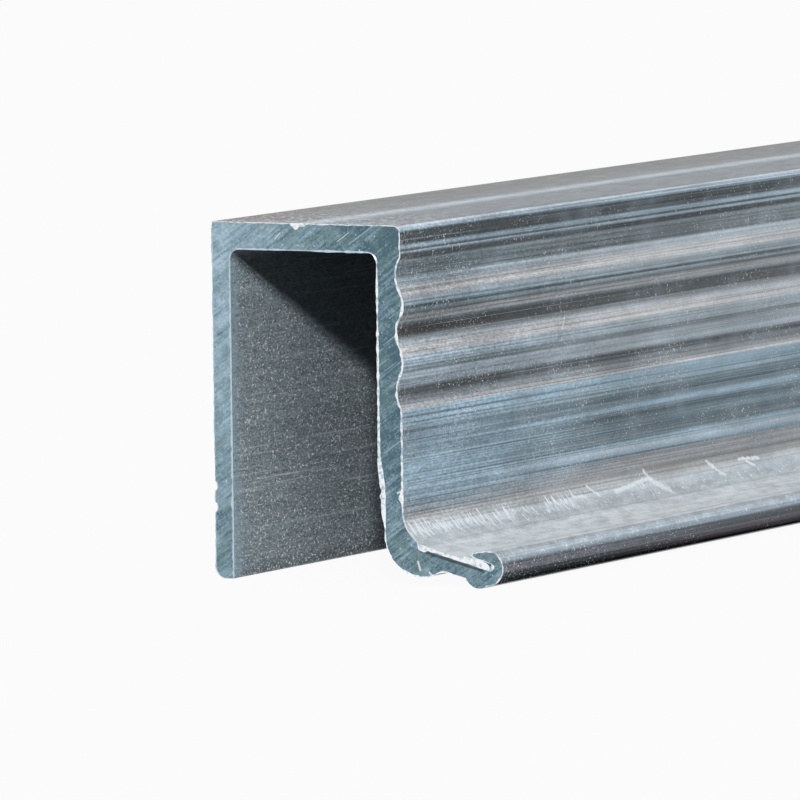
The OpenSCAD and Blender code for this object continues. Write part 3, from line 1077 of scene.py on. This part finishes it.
class PROFILE_OT_stage(Operator):
    """Lay the pale floor, set the soft light and place the camera"""

    bl_idname = "profile.stage"
    bl_label = "Stage"

    def execute(self, context):
        scene = context.scene
        scene.view_settings.view_transform = "Standard"
        self.floor(scene)
        self.world(scene)
        self.lamp(scene)
        self.camera(scene)
        return {"FINISHED"}

    def floor(self, scene):
        bm = bmesh.new()
        bmesh.ops.create_grid(bm, x_segments=1, y_segments=1, size=FLOOR_HALF)
        bmesh.ops.translate(bm, verts=bm.verts, vec=(0.0, 0.0, CAD_LOW.z))
        mesh = bpy.data.meshes.new("floor")
        bm.to_mesh(mesh)
        bm.free()
        mesh.materials.append(floor_material(scene.profile_colours, scene.profile_light.whiteness))
        floor = bpy.data.objects.new("floor", mesh)
        scene.collection.objects.link(floor)

    def world(self, scene):
        world = bpy.data.worlds.new("studio")
        world.use_nodes = True
        scene.world = world
        n = NodeTree(world.node_tree)
        fill = scene.profile_light.fill
        strength = n.line(seen_rays(n), 1.0 - fill, fill)
        light = n.add("ShaderNodeBackground", {"Color": WHITE, "Strength": strength}).outputs[0]
        n.add("ShaderNodeOutputWorld", {0: light})

    def lamp(self, scene):
        light = scene.profile_light
        data = bpy.data.lights.new("key", "SUN")
        data.energy = light.energy
        data.angle = light.softness
        key = bpy.data.objects.new("key", data)
        scene.collection.objects.link(key)
        level = math.cos(light.elevation)
        back = Vector((
            math.sin(light.azimuth) * level, -math.cos(light.azimuth) * level, math.sin(light.elevation),
        ))
        key.rotation_euler = back.to_track_quat("Z", "Y").to_euler()

    def camera(self, scene):
        v = scene.profile_view
        data = bpy.data.cameras.new("camera")
        data.lens = v.lens
        data.sensor_width = SENSOR_WIDTH
        data.clip_start = CLIP_START
        data.clip_end = CLIP_END
        camera = bpy.data.objects.new("camera", data)
        scene.collection.objects.link(camera)
        turn = Matrix.Rotation(v.yaw, 4, "Z") @ Matrix.Rotation(math.pi / 2 - v.pitch, 4, "X")
        turn = turn @ Matrix.Rotation(v.roll, 4, "Z")
        target = Vector((CAD_LOW.x + v.across, CAD_LOW.y, CAD_LOW.z + v.above))
        back = turn.to_3x3() @ Vector((0.0, 0.0, v.distance))
        camera.matrix_world = Matrix.Translation(target + back) @ turn
        scene.camera = camera


class PROFILE_PT_panel(Panel):
    """Shows the buttons that build the stage and the bar, and all their settings"""

    bl_label = "Profile"
    bl_space_type = "VIEW_3D"
    bl_region_type = "UI"
    bl_category = "Profile"

    def draw(self, context):
        for operator in OPERATORS:
            self.layout.operator(operator.bl_idname)
        for group in GROUPS:
            settings = getattr(context.scene, group)
            for name in settings.__annotations__:
                self.layout.prop(settings, name)


GROUPS = {
    "profile_sizes": ProfileSizes,
    "profile_ends": SawnEnds,
    "profile_colours": FinishColours,
    "profile_light": StageLight,
    "profile_view": CameraView,
}
OPERATORS = (PROFILE_OT_stage, PROFILE_OT_bar)
CLASSES = (*GROUPS.values(), *OPERATORS, PROFILE_PT_panel)


def register():
    for kind in CLASSES:
        bpy.utils.register_class(kind)
    for name, group in GROUPS.items():
        setattr(bpy.types.Scene, name, PointerProperty(type=group))


def unregister():
    for name in GROUPS:
        delattr(bpy.types.Scene, name)
    for kind in reversed(CLASSES):
        bpy.utils.unregister_class(kind)


def main():
    register()
    bpy.ops.profile.stage()
    bpy.ops.profile.bar()


if __name__ == "__main__":
    main()
